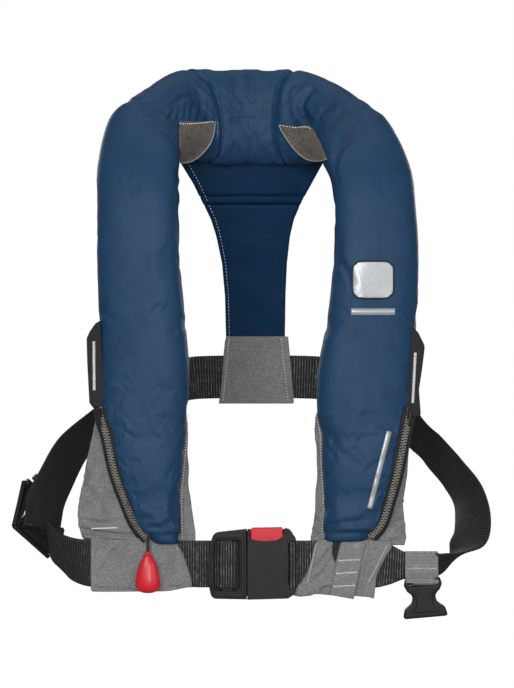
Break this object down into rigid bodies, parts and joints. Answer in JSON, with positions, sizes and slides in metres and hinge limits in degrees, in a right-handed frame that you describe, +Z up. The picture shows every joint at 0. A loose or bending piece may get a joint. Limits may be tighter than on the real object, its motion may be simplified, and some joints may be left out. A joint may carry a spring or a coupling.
{
  "type": "inflatable life jacket",
  "caption": "Packed horseshoe life jacket with a fabric cover, folded bladder and inflator, waist belt, push-button buckle, pull handle and crotch strap clip.",
  "frame": {"origin": "centre of the back plate's rear face", "axes": "+X towards the wearer's left, +Y out of the wearer's back, +Z up"},
  "size_m": [0.4945, 0.2328, 0.5795],
  "materials": {
    "navy_cover": "woven nylon, satin",
    "navy_lining": "woven nylon, matte",
    "grey_cloth": "coarse woven, matte",
    "brushed_gusset": "brushed, matte",
    "black_webbing": "ribbed webbing",
    "zip_tape": "woven tape",
    "zip_teeth": "moulded, satin",
    "zip_slider": "black lacquer",
    "black_plastic": "moulded acetal, satin",
    "pale_webbing": "woven webbing",
    "red_plastic": "moulded, glossy",
    "spring_steel": "drawn wire",
    "bladder_fabric": "coated nylon",
    "black_rubber": "matte",
    "cartridge_plastic": "moulded",
    "cylinder_steel": "plated",
    "black_cord": "braided",
    "oral_tube_rubber": "matte",
    "white_plastic": "moulded",
    "orange_plastic": "moulded",
    "reflective_patch": "reflective film"
  },
  "bodies": {
    "vest": {"collar_cover": "navy_lining", "right_lobe_cover": "navy_cover", "left_lobe_cover": "navy_cover", "right_back_panel": "grey_cloth", "left_back_panel": "grey_cloth", "right_neck_gusset": "brushed_gusset", "left_neck_gusset": "brushed_gusset", "yoke_panel": "navy_lining", "back_plate": "grey_cloth", "back_webbing": "black_webbing", "right_side_tab": "black_webbing", "left_side_tab": "black_webbing", "right_side_strap": "black_webbing", "left_side_strap": "black_webbing", "right_zip_tape": "zip_tape", "left_zip_tape": "zip_tape", "right_zip_teeth": "zip_teeth", "left_zip_teeth": "zip_teeth", "right_belt_tunnel": "grey_cloth", "left_belt_tunnel": "grey_cloth", "left_front_belt": "black_webbing", "left_webbing_tab": "pale_webbing", "buckle_housing": "black_plastic", "button_spring": "spring_steel", "bladder": "bladder_fabric", "inflator_body": "black_plastic", "inflator_manifold": "black_rubber", "lever_pin": "spring_steel", "firing_spring": "spring_steel", "oral_tube": "oral_tube_rubber", "valve_spring": "spring_steel", "whistle": "orange_plastic", "whistle_lanyard": "black_cord", "chest_patch": "reflective_patch"},
    "buckle_half": {"buckle_frame": "black_plastic", "right_front_belt": "black_webbing"},
    "release_button": {"release_button": "red_plastic"},
    "pull_handle": {"pull_toggle": "red_plastic", "pull_lanyard": "black_cord"},
    "firing_lever": {"firing_lever": "red_plastic"},
    "firing_pin": {"firing_pin": "spring_steel"},
    "co2_cylinder": {"co2_cylinder": "cylinder_steel"},
    "auto_cartridge": {"auto_cartridge": "cartridge_plastic"},
    "oral_cap": {"oral_cap": "oral_tube_rubber"},
    "oral_valve": {"oral_valve": "white_plastic"},
    "right_zip_slider": {"right_zip_slider": "zip_slider"},
    "left_zip_slider": {"left_zip_slider": "zip_slider"},
    "strap_adjuster": {"strap_adjuster": "black_plastic"},
    "clip_loop": {"clip_loop": "pale_webbing"},
    "crotch_clip": {"crotch_clip": "black_plastic"}
  },
  "joints": [
    {"name": "buckle_release", "type": "slide", "parent": "vest", "child": "buckle_half", "axis": [-1, 0, 0], "range_m": [0, 0.024]},
    {"name": "button_press", "type": "slide", "parent": "vest", "child": "release_button", "axis": [0, 0, -1], "range_m": [0, 0.004], "stiffness_N_per_m": 900, "springref_m": -0.001, "deforming": ["button_spring"]},
    {"name": "handle_pull", "type": "slide", "parent": "vest", "child": "pull_handle", "axis": [0, 0, -1], "range_m": [0, 0.035]},
    {"name": "lever_turn", "type": "hinge", "parent": "vest", "child": "firing_lever", "pos_m": [-0.099, -0.222, -0.122], "axis": [0, -1, 0], "range_deg": [0, 60]},
    {"name": "pin_lift", "type": "slide", "parent": "vest", "child": "firing_pin", "axis": [0, 0, 1], "range_m": [0, 0.0045], "deforming": ["firing_spring"]},
    {"name": "cylinder_unscrew", "type": "hinge", "parent": "vest", "child": "co2_cylinder", "pos_m": [-0.098, -0.206, -0.1], "axis": [0, 0, 1], "range_deg": [0, 1530]},
    {"name": "cartridge_unscrew", "type": "hinge", "parent": "vest", "child": "auto_cartridge", "pos_m": [-0.098, -0.206, -0.141], "axis": [0, 0, -1], "range_deg": [0, 1170]},
    {"name": "cap_off", "type": "slide", "parent": "vest", "child": "oral_cap", "axis": [0, 0, -1], "range_m": [0, 0.02]},
    {"name": "valve_press", "type": "slide", "parent": "vest", "child": "oral_valve", "axis": [0, 0, 1], "range_m": [0, 0.004], "stiffness_N_per_m": 300, "springref_m": -0.001, "deforming": ["valve_spring"]},
    {"name": "left_zip_pull", "type": "slide", "parent": "vest", "child": "left_zip_slider", "axis": [-0.2488, -0.0574, -0.9669], "range_m": [0, 0.075]},
    {"name": "right_zip_pull", "type": "slide", "parent": "vest", "child": "right_zip_slider", "axis": [0.2488, -0.0574, -0.9669], "range_m": [0, 0.075]},
    {"name": "adjuster_slide", "type": "slide", "parent": "vest", "child": "strap_adjuster", "axis": [0.0523, 0.6974, 0.7148], "range_m": [-0.006, 0.006]},
    {"name": "loop_slide", "type": "slide", "parent": "vest", "child": "clip_loop", "axis": [1, 0, 0], "range_m": [-0.004, 0.003]},
    {"name": "clip_swing", "type": "hinge", "parent": "clip_loop", "child": "crotch_clip", "pos_m": [0.1695, -0.221, -0.214], "axis": [-1, 0, 0], "range_deg": [0, 75]}
  ],
  "couplings": [
    {"joint": "lever_turn", "follows": "handle_pull", "rad_per_m": 29},
    {"joint": "pin_lift", "follows": "handle_pull", "ratio": 0.125}
  ]
}
